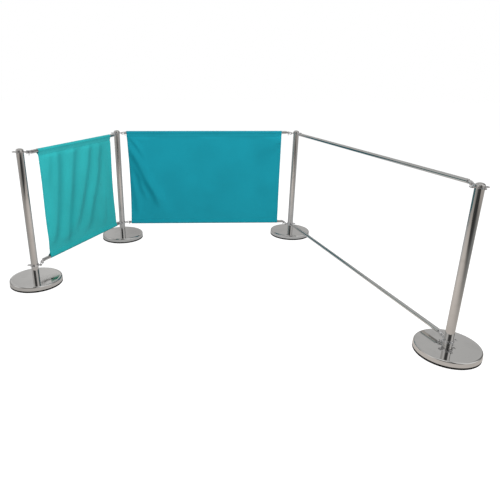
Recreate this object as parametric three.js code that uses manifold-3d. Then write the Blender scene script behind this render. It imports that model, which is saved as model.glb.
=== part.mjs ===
// Cafe barrier: four weighted chrome posts, three bays of rails with snap hooks, and two banners.
// Millimetres, +Z up. The middle bay runs along +X and the floor is at Z = 0.

import * as THREE from "three";
import { mergeVertices } from "three/addons/utils/BufferGeometryUtils.js";
import Module from "manifold-3d";

const wasm = await Module();
wasm.setup();

// Driving dimensions
const postHeight = 1000;
const tubeDiameter = 50.8;
const tubeWall = 1.5;
const baseDiameter = 375;
const baseHeight = 43;
const railDiameter = 25.4;
const railWall = 1.2;
const topRingDrop = 24;
const lowerRingHeights = { leftEnd: 140, leftCorner: 146, rightCorner: 106, rightEnd: 70 };

// Bay lengths, from lug hole to lug hole, and the turn of each bay from the middle one, in degrees
const leftBayLength = 1069;
const middleBayLength = 1537;
const rightBayLength = 2061;
const leftBayTurn = 62.2;
const rightBayTurn = -77.5;

// Places that follow from these
const topRingHeight = postHeight - topRingDrop;

// Clearances
const gap = 0.3;
const overrun = 4;

// Counts of sides round each kind of circle
const baseSides = 28;
const tubeSides = 16;
const railSides = 16;
const hookSides = 8;
const wireSides = 6;
const bendSteps = 6;
const lugEndSteps = 6;
const discSteps = 3;
const holeSides = 8;
const sleeveSides = 12;

// Base
const rubberThickness = 8;
const rubberWidth = 40;
const rubberInset = 0.8;
const coverWall = 1.5;
const coverShoulder = 9;
const coverDraft = 2;
const coverDome = 2.2;
const weightInset = 4;
const weightThickness = 19;
const weightRim = 3;
const spigotLength = 36;

// Rings of lugs
const plateThickness = 5;
const plateDiameter = 62;
const lugReach = 41.5;
const lugEndRadius = 10.5;
const lugHoleRadius = 6.5;
const lugCount = 4;
const hubDiameter = 60;
const hubHeight = 16;
const screwRadius = 2.4;
const screwDepth = 2;

// Cap
const capSpigot = 30;
const capRise = 13;
const capTopRadius = 8;
const capShoulder = 4;
const capMiddleDropShare = 1 / 3;

// Snap hooks, along the hook from the middle of the lug's rim outwards
const wireRadius = 3;
const loopRadius = 8;
const rimPlace = 1.5;
const lipLength = 3;
const barrelRadius = 11.5;
const barrelStart = 13;
const barrelLength = 20;
const barrelChamfer = 1.6;
const neckRadius = 5;
const knuckleReach = 37;
const knuckleRadius = 7;
const flangeGap = 4;
const flangeLength = 4;
const plugLength = 20;

// Triggers
const boltRadius = 2.5;
const boltTravel = 8;
const boltLength = 19;
const stubPlace = 20;
const stubLength = 12;
const stubKnobRadius = 3.4;
const stubKnobHeight = 4;
const stubKnobEndShare = 0.6;
const stubNeckShare = 0.9;

// Banners
const clothThickness = 2;
const sleeveSlack = 1.9;
const sleeveGap = 0.6;
const foldHeight = 10;
const foldEndShare = 0.4;

const rad = (degrees) => THREE.MathUtils.degToRad(degrees);
const tubeRadius = tubeDiameter / 2;
const tubeBore = tubeRadius - tubeWall;
const spigotRadius = tubeBore - gap;
const railRadius = railDiameter / 2;
const railBore = railRadius - railWall;
const rimMiddle = (lugHoleRadius + lugEndRadius) / 2;

const surface = (color, roughness, metalness) => () =>
  new THREE.MeshStandardMaterial({ color, roughness, metalness });
const chrome = surface(0xb9b8b6, 0.08, 1);
const brightChrome = surface(0xc6c6c8, 0.12, 1);
const castIron = surface(0x3a3a3c, 0.75, 0.6);
const rubber = surface(0x161616, 0.85, 0);
const lightTeal = surface(0x30abb0, 0.8, 0);
const deepTeal = surface(0x1f94a6, 0.8, 0);

// Turns a closed geometry into a solid that can be cut and joined.
function solid(geometry) {
  const plain = geometry.clone();
  plain.deleteAttribute("normal");
  plain.deleteAttribute("uv");
  const merged = mergeVertices(plain);
  return new wasm.Manifold(
    new wasm.Mesh({
      numProp: 3,
      vertProperties: new Float32Array(merged.attributes.position.array),
      triVerts: new Uint32Array(merged.index.array),
    }),
  );
}

function geometryOf(body) {
  const mesh = body.getMesh();
  const geometry = new THREE.BufferGeometry();
  geometry.setAttribute("position", new THREE.BufferAttribute(new Float32Array(mesh.vertProperties), 3));
  geometry.setIndex(new THREE.BufferAttribute(new Uint32Array(mesh.triVerts), 1));
  return geometry;
}

// A round solid about Z from its outline, given as [radius, height] pairs.
function turned(outline, sides) {
  const geometry = new THREE.LatheGeometry(
    outline.map(([radius, height]) => new THREE.Vector2(radius, height)),
    sides,
  );
  return geometry.rotateX(Math.PI / 2);
}

// The same, about X.
function turnedAlongX(outline, sides) {
  return turned(outline, sides).rotateY(Math.PI / 2);
}

function piece(name, geometry, material) {
  const mesh = new THREE.Mesh(geometry, material);
  mesh.name = name;
  return mesh;
}

// Base: rubber ring, iron weight with its spigot, and spun cover
const rubberOuter = baseDiameter / 2 - rubberInset;
const coverBottom = rubberThickness + gap;
const coverOuter = baseDiameter / 2;
const coverInner = coverOuter - coverWall;
const coverHole = spigotRadius + gap;
const weightTop = coverBottom + weightThickness;

function rubberRing() {
  const inner = rubberOuter - rubberWidth;
  return turned([[inner, 0], [rubberOuter, 0], [rubberOuter, rubberThickness], [inner, rubberThickness],
    [inner, 0]], baseSides);
}

function baseWeight() {
  const outer = coverInner - weightInset;
  const spigotTop = baseHeight + spigotLength;
  return turned([[0, coverBottom], [outer - weightRim, coverBottom], [outer, coverBottom + weightRim],
    [outer, weightTop], [spigotRadius, weightTop], [spigotRadius, spigotTop], [0, spigotTop]], tubeSides);
}

// The shell's outline runs up the outside, over the shoulder to the hole, and back under the sheet.
function baseCover() {
  const shoulderRadius = coverOuter - coverDraft - coverShoulder;
  const rimHeight = baseHeight - coverDome;
  const shoulderHeight = rimHeight - coverShoulder;
  const arc = (size, angle) =>
    [shoulderRadius + size * Math.cos(angle), shoulderHeight + size * Math.sin(angle)];
  const turns = [0, Math.PI / 4, Math.PI / 2];
  const outside = turns.map((angle) => arc(coverShoulder, angle));
  const inside = turns.map((angle) => arc(coverShoulder - coverWall, angle)).reverse();
  return turned([[coverInner, coverBottom], [coverOuter, coverBottom], ...outside, [coverHole, baseHeight],
    [coverHole, baseHeight - coverWall], ...inside, [coverInner, coverBottom]], baseSides);
}

// Post tube, from the cover's top to the top ring
const tubeBottom = baseHeight + gap;
const tubeTop = topRingHeight - plateThickness / 2 - gap;

function postTube() {
  return turned([[tubeBore, tubeBottom], [tubeRadius, tubeBottom], [tubeRadius, tubeTop],
    [tubeBore, tubeTop], [tubeBore, tubeBottom]], tubeSides);
}

// The outline of a ring's plate: a disc with four round-ended lugs.
function plateShape(bore) {
  const discRadius = plateDiameter / 2;
  const neck = Math.asin(lugEndRadius / discRadius);
  const step = (2 * Math.PI) / lugCount;
  const origin = new THREE.Vector2(0, 0);
  const outline = [];
  const holes = [roundPoints(bore, tubeSides)];
  for (let lug = 0; lug < lugCount; lug += 1) {
    const angle = lug * step;
    const centre = new THREE.Vector2(lugReach * Math.cos(angle), lugReach * Math.sin(angle));
    outline.push(...arcPoints(centre, lugEndRadius, angle - Math.PI / 2, angle + Math.PI / 2, lugEndSteps));
    outline.push(...arcPoints(origin, discRadius, angle + neck, angle + step - neck, discSteps));
    holes.push(roundPoints(lugHoleRadius, holeSides).map((point) => point.add(centre)));
  }
  const shape = new THREE.Shape(outline);
  shape.holes = holes.map((points) => new THREE.Path(points));
  return shape;
}

function arcPoints(centre, radius, from, to, steps) {
  return Array.from({ length: steps + 1 }, (_, i) => {
    const angle = THREE.MathUtils.lerp(from, to, i / steps);
    return new THREE.Vector2(centre.x + radius * Math.cos(angle), centre.y + radius * Math.sin(angle));
  });
}

// Points round a circle that start where a turned solid's sides start.
function roundPoints(radius, sides) {
  return Array.from({ length: sides }, (_, i) => {
    const angle = Math.PI / 2 + (2 * Math.PI * i) / sides;
    return new THREE.Vector2(radius * Math.cos(angle), radius * Math.sin(angle));
  });
}

function plate(bore) {
  const settings = { depth: plateThickness, bevelEnabled: false };
  return new THREE.ExtrudeGeometry(plateShape(bore), settings).translate(0, 0, -plateThickness / 2);
}

// Lower ring: the lug plate on a hub with a set-screw socket between two lugs.
function lowerRing() {
  const bore = tubeRadius + gap;
  const hubRadius = hubDiameter / 2;
  const hub = turned([[bore, -hubHeight / 2], [hubRadius, -hubHeight / 2], [hubRadius, hubHeight / 2],
    [bore, hubHeight / 2], [bore, -hubHeight / 2]], tubeSides);
  const socket = new THREE.CylinderGeometry(screwRadius, screwRadius, screwDepth + overrun, wireSides);
  socket.translate(0, hubRadius - screwDepth + (screwDepth + overrun) / 2, 0);
  socket.rotateZ(rad(-135));
  socket.translate(0, 0, (plateThickness + hubHeight) / 4);
  return geometryOf(solid(plate(bore)).add(solid(hub)).subtract(solid(socket)));
}

function topRing() {
  return plate(spigotRadius + gap);
}

function cap() {
  const seat = topRingHeight + plateThickness / 2 + gap;
  const middleRadius = (tubeRadius + capTopRadius) / 2 + capShoulder;
  const middleHeight = postHeight - capRise * capMiddleDropShare;
  return turned([[0, seat - capSpigot], [spigotRadius, seat - capSpigot], [spigotRadius, seat],
    [tubeRadius, seat], [tubeRadius, postHeight - capRise], [middleRadius, middleHeight],
    [capTopRadius, postHeight], [0, postHeight]], tubeSides);
}

function post(name, ringHeight, place) {
  const group = new THREE.Group();
  group.position.set(place.x, place.y, 0);
  const lower = piece(`${name}_lower_ring`, lowerRing(), brightChrome());
  lower.position.z = ringHeight;
  const upper = piece(`${name}_top_ring`, topRing(), brightChrome());
  upper.position.z = topRingHeight;
  group.add(
    piece(`${name}_rubber_ring`, rubberRing(), rubber()),
    piece(`${name}_base_weight`, baseWeight(), castIron()),
    piece(`${name}_base_cover`, baseCover(), chrome()),
    piece(`${name}_post_tube`, postTube(), chrome()),
    piece(`${name}_cap`, cap(), chrome()),
    lower,
    upper,
  );
  return group;
}

// Snap hook. The claw holds the lug's rim inside a loop, and the hook tilts in the lug with the rail's pull.
const loopInner = loopRadius - wireRadius;

// How far the loop's middle lies from the rim's middle, so that the claw just bears on the lug.
function seatOffset(tilt) {
  const rimHalf = (plateThickness / 2) * Math.cos(tilt);
  const rimLean = ((lugEndRadius - lugHoleRadius) / 2) * Math.abs(Math.sin(tilt));
  return loopInner - rimHalf - rimLean - gap;
}

// Where a hook's knuckle lies: its distance from the lug's hole and its height over the lug plate.
function knuckle(hook) {
  const tilt = rad(hook.tilt);
  const seat = hook.pull * seatOffset(tilt);
  return {
    reach: rimMiddle - seat * Math.sin(tilt) + (knuckleReach - rimPlace) * Math.cos(tilt),
    rise: seat * Math.cos(tilt) + (knuckleReach - rimPlace) * Math.sin(tilt),
  };
}

// The claw's wire: over the rim, down through the hole and back to the lip.
function claw() {
  const bend = Array.from({ length: bendSteps + 1 }, (_, i) => {
    const angle = Math.PI / 2 + (Math.PI * i) / bendSteps;
    return new THREE.Vector3(loopRadius * Math.cos(angle), 0, loopRadius * Math.sin(angle));
  });
  const start = new THREE.Vector3(barrelStart + barrelChamfer + gap, 0, loopRadius);
  const end = new THREE.Vector3(lipLength, 0, -loopRadius);
  const points = [start, ...bend, end];
  const section = new THREE.Shape(roundPoints(wireRadius, wireSides));
  return new THREE.ExtrudeGeometry(section, {
    steps: points.length - 1,
    bevelEnabled: false,
    extrudePath: polyline(points),
  });
}

// A path through its points that keeps one step for each stretch between them.
function polyline(points) {
  const path = new THREE.CatmullRomCurve3(points);
  path.getPointAt = (share) => {
    const place = share * (points.length - 1);
    const index = Math.min(Math.floor(place), points.length - 2);
    return new THREE.Vector3().lerpVectors(points[index], points[index + 1], place - index);
  };
  path.getTangentAt = (share) => {
    const index = Math.round(share * (points.length - 1));
    const before = points[Math.max(index - 1, 0)];
    const after = points[Math.min(index + 1, points.length - 1)];
    return new THREE.Vector3().subVectors(after, before).normalize();
  };
  return path;
}

// The barrel, open below along the groove that the bolt and its stub slide in.
function barrel() {
  const end = barrelStart + barrelLength;
  const nose = barrelRadius - barrelChamfer;
  const body = turnedAlongX([[0, barrelStart], [nose, barrelStart],
    [barrelRadius, barrelStart + barrelChamfer], [barrelRadius, end], [neckRadius, end],
    [neckRadius, knuckleReach], [0, knuckleReach]], hookSides);
  const grooveLength = stubPlace + boltRadius + boltTravel + gap - barrelStart + overrun;
  const grooveDepth = barrelRadius - loopRadius + boltRadius + gap + overrun;
  const groove = new THREE.BoxGeometry(grooveLength, 2 * (boltRadius + gap), grooveDepth);
  const grooveTop = -loopRadius + boltRadius + gap;
  groove.translate(barrelStart - overrun + grooveLength / 2, 0, grooveTop - grooveDepth / 2);
  return solid(body).subtract(solid(groove));
}

// The end plug: a spigot in the rail's bore, a flange on its end, and the knuckle that meets the barrel.
function endPlug() {
  const flange = flangeGap + flangeLength;
  const spigot = railBore - gap;
  return turnedAlongX([[0, -knuckleRadius], [knuckleRadius, 0], [knuckleRadius, flangeGap],
    [railRadius, flangeGap], [railRadius, flange], [spigot, flange], [spigot, flange + plugLength],
    [0, flange + plugLength]], hookSides);
}

function snapHook(hook, slope) {
  const tilt = rad(hook.tilt);
  const seat = hook.pull * seatOffset(tilt);
  const tilted = new THREE.Matrix4().makeRotationY(-tilt);
  const seated = new THREE.Matrix4().makeTranslation(-rimPlace, 0, seat);
  const front = geometryOf(barrel().add(solid(claw())));
  front.applyMatrix4(seated).applyMatrix4(tilted);
  const at = knuckle(hook);
  const plug = endPlug().rotateY(-slope).translate(at.reach - rimMiddle, 0, at.rise);
  return geometryOf(solid(front).add(solid(plug))).translate(rimMiddle, 0, 0);
}

// The bolt and its thumb stub, with the bolt's nose against the claw's lip.
function trigger(hook) {
  const tilt = rad(hook.tilt);
  const seat = hook.pull * seatOffset(tilt);
  const nose = lipLength + gap;
  const tail = nose + boltLength;
  const bolt = turnedAlongX([[0, nose], [boltRadius, nose], [boltRadius, tail], [0, tail]], wireSides);
  bolt.translate(0, 0, -loopRadius);
  const knobEnd = -stubLength - stubKnobHeight;
  const knobEndRadius = stubKnobRadius * stubKnobEndShare;
  const stubNeck = boltRadius * stubNeckShare;
  const stub = turned([[0, knobEnd], [knobEndRadius, knobEnd], [stubKnobRadius, knobEnd + stubKnobHeight / 2],
    [knobEndRadius, -stubLength], [stubNeck, -stubLength], [stubNeck, 0], [0, 0]], wireSides);
  stub.translate(stubPlace, 0, -loopRadius);
  const body = geometryOf(solid(bolt).add(solid(stub)));
  return body.translate(-rimPlace, 0, seat).rotateY(-tilt).translate(rimMiddle, 0, 0);
}

// Rail, as a tube along X between its two ends
function rail(length) {
  return turnedAlongX([[railBore, 0], [railRadius, 0], [railRadius, length], [railBore, length],
    [railBore, 0]], railSides);
}

// Where a rail runs in its bay, from its hooks' tilts and the heights of the two lug plates.
function railRun(bay, hooks, heights) {
  const left = knuckle(hooks.left);
  const right = knuckle(hooks.right);
  const start = new THREE.Vector3(left.reach, 0, heights.left + left.rise);
  const end = new THREE.Vector3(bay.length - right.reach, 0, heights.right + right.rise);
  const slope = Math.atan2(end.z - start.z, end.x - start.x);
  const setBack = flangeGap + flangeLength + gap;
  return { start, end, slope, setBack, length: start.distanceTo(end) - 2 * setBack };
}

function addLevel(group, bay, level, hooks, heights) {
  const run = railRun(bay, hooks, heights);
  const tube = piece(`${bay.name}_${level}_rail`, rail(run.length), chrome());
  tube.position.set(run.setBack * Math.cos(run.slope), 0, run.setBack * Math.sin(run.slope)).add(run.start);
  tube.rotation.y = -run.slope;
  group.add(tube);
  for (const side of ["left", "right"]) {
    const end = new THREE.Group();
    const turn = side === "left" ? 1 : -1;
    end.position.set(side === "left" ? 0 : bay.length, 0, heights[side]);
    end.rotation.z = side === "left" ? 0 : Math.PI;
    end.add(
      piece(`${bay.name}_${level}_hook_${side}`, snapHook(hooks[side], turn * run.slope), brightChrome()),
      piece(`${bay.name}_${level}_trigger_${side}`, trigger(hooks[side]), brightChrome()),
    );
    group.add(end);
  }
  return run;
}

// Banner: a sheet with folds between two sleeves, closed all round
const sleeveInner = railRadius + sleeveSlack;
const sleeveOuter = sleeveInner + clothThickness;
const sleeveDrop = sleeveInner * Math.cos(Math.PI / sleeveSides) - railRadius - sleeveGap;

function sleeve(length) {
  return turnedAlongX([[sleeveInner, 0], [sleeveOuter, 0], [sleeveOuter, length], [sleeveInner, length],
    [sleeveInner, 0]], sleeveSides);
}

// How far the sheet stands off its plane at a share of its width and height.
function foldDepth(folds, across, up) {
  let depth = 0;
  for (const fold of folds) {
    const place = fold.placeShare + fold.leanShare * (up - 1 / 2);
    const distance = (across - place) / fold.widthShare;
    depth += foldHeight * fold.heightShare * Math.exp(-distance * distance) * fold.fade(up);
  }
  return depth * Math.sin(Math.PI * THREE.MathUtils.clamp(up, 0, 1)) ** foldEndShare;
}

function sheet(width, bottomEdge, topEdge, banner) {
  const { columns, rows, folds } = banner;
  const half = clothThickness / 2;
  const positions = [];
  for (const side of [-half, half]) {
    for (let row = 0; row <= rows; row += 1) {
      for (let column = 0; column <= columns; column += 1) {
        const across = column / columns;
        const up = row / rows;
        const x = width * across;
        const z = THREE.MathUtils.lerp(bottomEdge(x), topEdge(x), up);
        positions.push(x, side + foldDepth(folds, across, up), z);
      }
    }
  }
  const stride = columns + 1;
  const layer = stride * (rows + 1);
  const index = [];
  const quad = (a, b, c, d) => index.push(a, b, c, a, c, d);
  for (let row = 0; row < rows; row += 1) {
    for (let column = 0; column < columns; column += 1) {
      const a = row * stride + column;
      quad(a, a + 1, a + 1 + stride, a + stride);
      quad(layer + a, layer + a + stride, layer + a + 1 + stride, layer + a + 1);
    }
  }
  for (let column = 0; column < columns; column += 1) {
    const top = rows * stride + column;
    quad(column, layer + column, layer + column + 1, column + 1);
    quad(top, top + 1, layer + top + 1, layer + top);
  }
  for (let row = 0; row < rows; row += 1) {
    const left = row * stride;
    const right = left + columns;
    quad(left, left + stride, layer + left + stride, layer + left);
    quad(right, layer + right, layer + right + stride, right + stride);
  }
  const geometry = new THREE.BufferGeometry();
  geometry.setAttribute("position", new THREE.BufferAttribute(new Float32Array(positions), 3));
  geometry.setIndex(index);
  return geometry;
}

// The banner hangs from the top rail and holds the bottom rail up, so its sleeves bear on their rails.
function addBanner(group, bay, topRun, bottomRun) {
  const { start, end } = bay.banner;
  const width = bay.length - start - end;
  const heightAt = (run, x) => run.start.z + (x - run.start.x) * Math.tan(run.slope);
  const placed = (run, shift) => {
    const tube = sleeve(width / Math.cos(run.slope)).rotateY(-run.slope);
    return solid(tube.translate(0, 0, heightAt(run, start) + shift));
  };
  const seam = (sleeveInner + sleeveOuter) / 2;
  const topEdge = (x) => heightAt(topRun, start + x) - sleeveDrop - seam;
  const bottomEdge = (x) => heightAt(bottomRun, start + x) + sleeveDrop + seam;
  const cloth = solid(sheet(width, bottomEdge, topEdge, bay.banner));
  const body = cloth.add(placed(topRun, -sleeveDrop)).add(placed(bottomRun, sleeveDrop));
  const mesh = piece(`${bay.name}_banner`, geometryOf(body), bay.banner.material());
  mesh.position.x = start;
  group.add(mesh);
}

function addBay(parent, bay, place, turn, heights) {
  const group = new THREE.Group();
  group.position.set(place.x, place.y, 0);
  group.rotation.z = rad(turn);
  const top = { left: topRingHeight, right: topRingHeight };
  const topRun = addLevel(group, bay, "top", bay.topHooks, top);
  const bottomRun = addLevel(group, bay, "bottom", bay.bottomHooks, heights);
  if (bay.banner) {
    addBanner(group, bay, topRun, bottomRun);
  }
  parent.add(group);
}

const steady = () => 1;
const fadeDown = (up) => up;
const fadeUp = (up) => 1 - up;

// A hook's pull is 1 where the banner lifts it in its lug, and -1 where it hangs on its lug. A banner starts and
// ends at a distance from the bay's lug holes.
const leftBay = {
  name: "left",
  length: leftBayLength,
  topHooks: { left: { tilt: -7, pull: -1 }, right: { tilt: -10, pull: -1 } },
  bottomHooks: { left: { tilt: 49, pull: 1 }, right: { tilt: 23, pull: 1 } },
  banner: {
    start: 105,
    end: 92,
    columns: 32,
    rows: 8,
    material: lightTeal,
    folds: [
      { placeShare: 0.1, leanShare: 0.05, widthShare: 0.04, heightShare: 0.5, fade: fadeDown },
      { placeShare: 0.205, leanShare: 0.07, widthShare: 0.04, heightShare: 1, fade: steady },
      { placeShare: 0.395, leanShare: 0.17, widthShare: 0.04, heightShare: 1, fade: steady },
      { placeShare: 0.55, leanShare: 0.28, widthShare: 0.045, heightShare: 1, fade: steady },
      { placeShare: 0.73, leanShare: 0.26, widthShare: 0.045, heightShare: 0.9, fade: steady },
      { placeShare: 0.92, leanShare: 0.08, widthShare: 0.04, heightShare: 0.5, fade: fadeUp },
    ],
  },
};

const middleBay = {
  name: "middle",
  length: middleBayLength,
  topHooks: { left: { tilt: 9, pull: -1 }, right: { tilt: 14, pull: -1 } },
  bottomHooks: { left: { tilt: -2, pull: 1 }, right: { tilt: 43, pull: 1 } },
  banner: {
    start: 48,
    end: 92,
    columns: 24,
    rows: 6,
    material: deepTeal,
    folds: [
      { placeShare: 0.08, leanShare: -0.3, widthShare: 0.04, heightShare: 0.8, fade: fadeDown },
      { placeShare: 0.3, leanShare: 0.04, widthShare: 0.12, heightShare: -0.5, fade: steady },
      { placeShare: 0.62, leanShare: -0.05, widthShare: 0.12, heightShare: 0.5, fade: steady },
      { placeShare: 0.9, leanShare: 0.04, widthShare: 0.06, heightShare: -0.5, fade: steady },
    ],
  },
};

const rightBay = {
  name: "right",
  length: rightBayLength,
  topHooks: { left: { tilt: 2, pull: -1 }, right: { tilt: 20, pull: -1 } },
  bottomHooks: { left: { tilt: 15, pull: -1 }, right: { tilt: 22, pull: -1 } },
};

// Where the posts stand: each bay runs from a lug hole of one post to a lug hole of the next.
const along = (turn, length) => new THREE.Vector2(length, 0).rotateAround(new THREE.Vector2(), rad(turn));
const lugHole = (centre, turn) => centre.clone().add(along(turn, lugReach));
const leftCorner = new THREE.Vector2(0, 0);
const leftBayEnd = lugHole(leftCorner, -90);
const leftBayStart = leftBayEnd.clone().sub(along(leftBayTurn, leftBayLength));
const leftEnd = leftBayStart.clone().sub(along(0, lugReach));
const middleBayStart = lugHole(leftCorner, 0);
const middleBayEnd = middleBayStart.clone().add(along(0, middleBayLength));
const rightCorner = middleBayEnd.clone().add(along(0, lugReach));
const rightBayStart = lugHole(rightCorner, -90);
const rightBayEnd = rightBayStart.clone().add(along(rightBayTurn, rightBayLength));
const rightEnd = rightBayEnd.clone().sub(along(90, lugReach));

const barrier = new THREE.Group();
const floorMiddle = new THREE.Group();
const xMiddle = (leftEnd.x + rightEnd.x) / 2;
const yMiddle = (leftCorner.y + rightEnd.y) / 2;
floorMiddle.position.set(-xMiddle, -yMiddle, 0);
barrier.add(floorMiddle);

const heightsBetween = (left, right) => ({ left: lowerRingHeights[left], right: lowerRingHeights[right] });
floorMiddle.add(
  post("left_end", lowerRingHeights.leftEnd, leftEnd),
  post("left_corner", lowerRingHeights.leftCorner, leftCorner),
  post("right_corner", lowerRingHeights.rightCorner, rightCorner),
  post("right_end", lowerRingHeights.rightEnd, rightEnd),
);
addBay(floorMiddle, leftBay, leftBayStart, leftBayTurn, heightsBetween("leftEnd", "leftCorner"));
addBay(floorMiddle, middleBay, middleBayStart, 0, heightsBetween("leftCorner", "rightCorner"));
addBay(floorMiddle, rightBay, rightBayStart, rightBayTurn, heightsBetween("rightCorner", "rightEnd"));

export default barrier;
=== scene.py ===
# Cafe barrier: four mirror-polished posts on round bases, rails on snap hooks, and two teal banners.
import bpy
import bmesh
import math
from mathutils import Matrix, Vector


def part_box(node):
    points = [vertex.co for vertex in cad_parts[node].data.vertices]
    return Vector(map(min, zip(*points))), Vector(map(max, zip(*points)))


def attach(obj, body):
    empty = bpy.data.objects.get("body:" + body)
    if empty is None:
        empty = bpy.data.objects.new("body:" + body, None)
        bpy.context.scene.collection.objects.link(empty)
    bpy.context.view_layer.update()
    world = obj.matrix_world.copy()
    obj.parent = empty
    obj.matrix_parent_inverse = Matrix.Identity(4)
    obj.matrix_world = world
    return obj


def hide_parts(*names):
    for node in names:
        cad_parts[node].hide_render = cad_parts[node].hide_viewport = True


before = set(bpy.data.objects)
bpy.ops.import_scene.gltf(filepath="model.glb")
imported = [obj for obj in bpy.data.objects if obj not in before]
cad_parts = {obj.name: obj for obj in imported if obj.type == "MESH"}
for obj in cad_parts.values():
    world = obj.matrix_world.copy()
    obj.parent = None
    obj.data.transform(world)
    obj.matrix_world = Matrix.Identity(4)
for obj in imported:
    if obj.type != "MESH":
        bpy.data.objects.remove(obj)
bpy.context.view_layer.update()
scene = bpy.context.scene
mm = 0.001
rad = math.radians

# Camera, as fitted to the photograph's own post heights
camera = {
    "place": (-0.240, -3.288, 1.536),
    "pitch": 69.92,
    "heading": -5.4,
    "roll": 0.76,
    "lens": 34.11,
    "shift": (0.0598, -0.0194),
}
lens = bpy.data.cameras.new("camera")
lens.lens = camera["lens"]
lens.sensor_width = 36
lens.shift_x, lens.shift_y = camera["shift"]
eye = bpy.data.objects.new("camera", lens)
eye.matrix_world = (
    Matrix.Translation(camera["place"])
    @ Matrix.Rotation(rad(camera["heading"]), 4, "Z")
    @ Matrix.Rotation(rad(camera["pitch"]), 4, "X")
    @ Matrix.Rotation(rad(camera["roll"]), 4, "Z")
)
scene.collection.objects.link(eye)
scene.camera = eye
print("camera placed")


# Shape helpers. Sizes are in millimetres, and meshes come out in metres.
def rounded(outline, size, steps=3, most=0.48):
    # rounds every inner corner of an open outline, over at most a share of each side
    points = [Vector(p) for p in outline]
    result = [points[0]]
    for before, corner, after in zip(points, points[1:], points[2:]):
        back, on = before - corner, after - corner
        reach = min(size, back.length * most, on.length * most)
        start, end = corner + back.normalized() * reach, corner + on.normalized() * reach
        for k in range(steps + 1):
            t = k / steps
            result.append(start * (1 - t) ** 2 + corner * 2 * t * (1 - t) + end * t * t)
    result.append(points[-1])
    return result


def turned(bm, outline, sides, place=Matrix()):
    # a surface turned about Z; the outline starts and ends on the axis, or closes on itself
    closed = (Vector(outline[0]) - Vector(outline[-1])).length < 1e-6
    points = outline[:-1] if closed else outline
    rings = []
    for radius, height in points:
        count = 1 if radius < 1e-6 else sides
        turns = [2 * math.pi * i / sides for i in range(count)]
        rings.append([
            bm.verts.new(place @ (Vector((radius * math.cos(a), radius * math.sin(a), height)) * mm))
            for a in turns
        ])
    following = rings[1:] + rings[:1] if closed else rings[1:]
    for low, high in zip(rings, following):
        for i in range(sides):
            j = (i + 1) % sides
            corners = [low[i % len(low)], low[j % len(low)], high[j % len(high)], high[i % len(high)]]
            corners = list(dict.fromkeys(corners))
            if len(corners) > 2:
                bm.faces.new(corners)


alongX = Matrix.Rotation(math.pi / 2, 4, "Y")


def swept(bm, path, radii, sides, place=Matrix()):
    # a round bar along a path, closed at both ends
    path = [Vector(p) for p in path]
    rings = []
    side = None
    for i, spot in enumerate(path):
        along = (path[min(i + 1, len(path) - 1)] - path[max(i - 1, 0)]).normalized()
        side = along.orthogonal() if side is None else side - along * side.dot(along)
        side.normalize()
        up = along.cross(side)
        rings.append([
            bm.verts.new(place @ ((spot + (side * math.cos(a) + up * math.sin(a)) * radii[i]) * mm))
            for a in (2 * math.pi * k / sides for k in range(sides))
        ])
    for low, high in zip(rings, rings[1:]):
        for i in range(sides):
            j = (i + 1) % sides
            bm.faces.new([low[i], low[j], high[j], high[i]])
    bm.faces.new(rings[0])
    bm.faces.new(rings[-1])


def arc(centre, radius, start, end, steps):
    turns = [start + (end - start) * i / steps for i in range(steps + 1)]
    return [(centre[0] + radius * math.cos(a), centre[1] + radius * math.sin(a)) for a in turns]


def cutPlate(bm, outlines, thickness, edge, place=Matrix()):
    # a flat plate with eased edges: the first outline runs anticlockwise, its holes clockwise
    half = thickness / 2
    levels = [(half, edge), (half - edge * 0.3, edge * 0.3), (half - edge, 0), (edge - half, 0),
              (edge * 0.3 - half, edge * 0.3), (-half, edge)]
    lids = [[], []]
    for outline in outlines:
        points = [Vector(p) for p in outline]
        count = len(points)
        sides = []
        for i in range(count):
            along = (points[(i + 1) % count] - points[i - 1]).normalized()
            sides.append(Vector((along.y, -along.x)))
        rings = []
        for height, inset in levels:
            rings.append([
                bm.verts.new(place @ (Vector((*(p - s * inset), height)) * mm)) for p, s in zip(points, sides)
            ])
        for low, high in zip(rings, rings[1:]):
            for i in range(count):
                j = (i + 1) % count
                bm.faces.new([low[i], low[j], high[j], high[i]])
        for lid, ring in zip(lids, (rings[0], rings[-1])):
            for i in range(count):
                lid.append(bm.edges.get((ring[i], ring[(i + 1) % count])))
    for lid in lids:
        bmesh.ops.triangle_fill(bm, use_beauty=True, use_dissolve=False, edges=lid)


def applied(piece):
    # puts the mesh with its modifiers applied in place of the plain one
    bpy.context.view_layer.update()
    mesh = bpy.data.meshes.new_from_object(piece.evaluated_get(bpy.context.evaluated_depsgraph_get()))
    piece.modifiers.clear()
    piece.data = mesh


def asObject(name, bm):
    mesh = bpy.data.meshes.new(name)
    bm.to_mesh(mesh)
    bm.free()
    thing = bpy.data.objects.new(name, mesh)
    scene.collection.objects.link(thing)
    return thing


def asPiece(name, bm, material, sharp=38, mirrors=True):
    # on polished pieces the larger faces set the shading, so that long walls mirror straight
    bmesh.ops.recalc_face_normals(bm, faces=bm.faces)
    for face in bm.faces:
        face.smooth = True
    for seam in bm.edges:
        seam.smooth = len(seam.link_faces) != 2 or seam.calc_face_angle(0) < rad(sharp)
    piece = asObject(name, bm)
    piece.data.materials.append(material)
    if mirrors:
        even = piece.modifiers.new("even", "WEIGHTED_NORMAL")
        even.keep_sharp = True
        applied(piece)
    return piece


def standIn(piece, body, node):
    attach(piece, body)
    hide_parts(node)


# Node groups shared by the finishes
def newGroup(name, inputs, outputs):
    group = bpy.data.node_groups.new(name, "ShaderNodeTree")
    for label, kind, value in inputs:
        socket = group.interface.new_socket(label, in_out="INPUT", socket_type=kind)
        if value is not None:
            socket.default_value = value
    for label, kind in outputs:
        group.interface.new_socket(label, in_out="OUTPUT", socket_type=kind)
    return group, group.nodes.new("NodeGroupInput"), group.nodes.new("NodeGroupOutput")


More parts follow.
